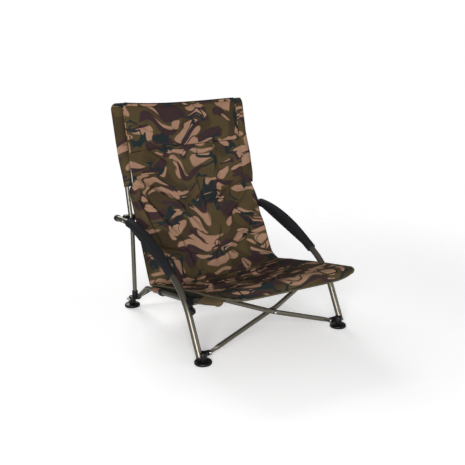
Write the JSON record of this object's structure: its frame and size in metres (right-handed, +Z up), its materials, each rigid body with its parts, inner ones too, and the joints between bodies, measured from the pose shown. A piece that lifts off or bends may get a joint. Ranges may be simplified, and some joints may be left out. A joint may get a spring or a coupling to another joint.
{
  "type": "low folding chair",
  "caption": "Low folding chair with a camouflage fabric sling, crossed folding bars, arched tube arms with foam grips and round swivel feet.",
  "frame": {"origin": "on the floor, under the middle of the open chair's box", "axes": "+Z up, the seat faces -Y, +X from the left side frame to the right one"},
  "size_m": [0.608, 0.768, 0.7525],
  "materials": {
    "painted_tube": "satin",
    "plated_steel": "satin",
    "black_plastic": "matte",
    "foam_grip": "matte",
    "camouflage_fabric": "matte",
    "webbing": "matte"
  },
  "bodies": {
    "left_side": {"leg_arm_left": "painted_tube", "grip_left": "foam_grip", "arm_cap_left": "black_plastic", "arm_bracket_left": "black_plastic", "arm_pin_left": "plated_steel", "post_left": "painted_tube", "post_cap_left": "black_plastic", "post_sleeve_left": "camouflage_fabric", "rail_rear_left": "painted_tube", "rail_clip_left": "black_plastic", "rail_front_left": "painted_tube", "rail_tip_left": "black_plastic", "rail_rivet_left": "plated_steel", "leg_bracket_left": "black_plastic", "front_hub_left": "black_plastic", "rear_hub_left": "black_plastic", "front_fork_pin_left": "plated_steel", "rear_fork_pin_left": "plated_steel", "hub_strap_left": "plated_steel", "seat_loop_left": "camouflage_fabric", "corner_pocket_left": "camouflage_fabric", "back_panel": "camouflage_fabric", "seat_panel": "camouflage_fabric", "head_panel": "camouflage_fabric", "front_binding": "webbing"},
    "right_side": {"leg_arm_right": "painted_tube", "grip_right": "foam_grip", "arm_cap_right": "black_plastic", "arm_bracket_right": "black_plastic", "arm_pin_right": "plated_steel", "post_right": "painted_tube", "post_cap_right": "black_plastic", "post_sleeve_right": "camouflage_fabric", "rail_rear_right": "painted_tube", "rail_clip_right": "black_plastic", "rail_front_right": "painted_tube", "rail_tip_right": "black_plastic", "rail_rivet_right": "plated_steel", "leg_bracket_right": "black_plastic", "front_hub_right": "black_plastic", "rear_hub_right": "black_plastic", "front_fork_pin_right": "plated_steel", "rear_fork_pin_right": "plated_steel", "hub_strap_right": "plated_steel", "seat_loop_right": "camouflage_fabric", "corner_pocket_right": "camouflage_fabric"},
    "front_bar_a": {"front_bar_a": "painted_tube", "front_crossing_pin": "plated_steel", "front_crossing_washer": "black_plastic"},
    "front_bar_b": {"front_bar_b": "painted_tube"},
    "rear_bar_a": {"rear_bar_a": "painted_tube", "rear_crossing_pin": "plated_steel", "rear_crossing_washer": "black_plastic"},
    "rear_bar_b": {"rear_bar_b": "painted_tube"},
    "front_foot_left": {"front_foot_left": "black_plastic"},
    "front_foot_right": {"front_foot_right": "black_plastic"},
    "rear_foot_left": {"rear_foot_left": "black_plastic"},
    "rear_foot_right": {"rear_foot_right": "black_plastic"}
  },
  "joints": [
    {"name": "front_fold", "type": "hinge", "parent": "left_side", "child": "front_bar_a", "pos_m": [-0.245, -0.27087, 0.027], "axis": [0, -1, 0], "range_deg": [0, 55], "deforming": ["back_panel", "seat_panel", "head_panel", "front_binding"]},
    {"name": "front_crossing", "type": "hinge", "parent": "front_bar_a", "child": "front_bar_b", "pos_m": [0, -0.27087, 0.117], "axis": [0, 1, 0], "range_deg": [0, 110]},
    {"name": "front_hub_right_pivot", "type": "hinge", "parent": "front_bar_b", "child": "right_side", "pos_m": [0.245, -0.27087, 0.027], "axis": [0, -1, 0], "range_deg": [0, 55]},
    {"name": "rear_fold", "type": "hinge", "parent": "left_side", "child": "rear_bar_a", "pos_m": [-0.245, 0.28313, 0.027], "axis": [0, -1, 0], "range_deg": [0, 55]},
    {"name": "rear_crossing", "type": "hinge", "parent": "rear_bar_a", "child": "rear_bar_b", "pos_m": [0, 0.28313, 0.117], "axis": [0, 1, 0], "range_deg": [0, 110]},
    {"name": "front_foot_left_tilt", "type": "hinge", "parent": "left_side", "child": "front_foot_left", "pos_m": [-0.275, -0.28187, 0.013], "axis": [1, 0, 0], "range_deg": [-10, 10]},
    {"name": "front_foot_right_tilt", "type": "hinge", "parent": "right_side", "child": "front_foot_right", "pos_m": [0.275, -0.28187, 0.013], "axis": [1, 0, 0], "range_deg": [-10, 10]},
    {"name": "rear_foot_left_tilt", "type": "hinge", "parent": "left_side", "child": "rear_foot_left", "pos_m": [-0.275, 0.27213, 0.013], "axis": [1, 0, 0], "range_deg": [-10, 10]},
    {"name": "rear_foot_right_tilt", "type": "hinge", "parent": "right_side", "child": "rear_foot_right", "pos_m": [0.275, 0.27213, 0.013], "axis": [1, 0, 0], "range_deg": [-10, 10]}
  ],
  "couplings": [
    {"joint": "front_crossing", "follows": "front_fold", "ratio": 2},
    {"joint": "front_hub_right_pivot", "follows": "front_fold", "ratio": 1},
    {"joint": "rear_fold", "follows": "front_fold", "ratio": 1},
    {"joint": "rear_crossing", "follows": "front_fold", "ratio": 2}
  ]
}
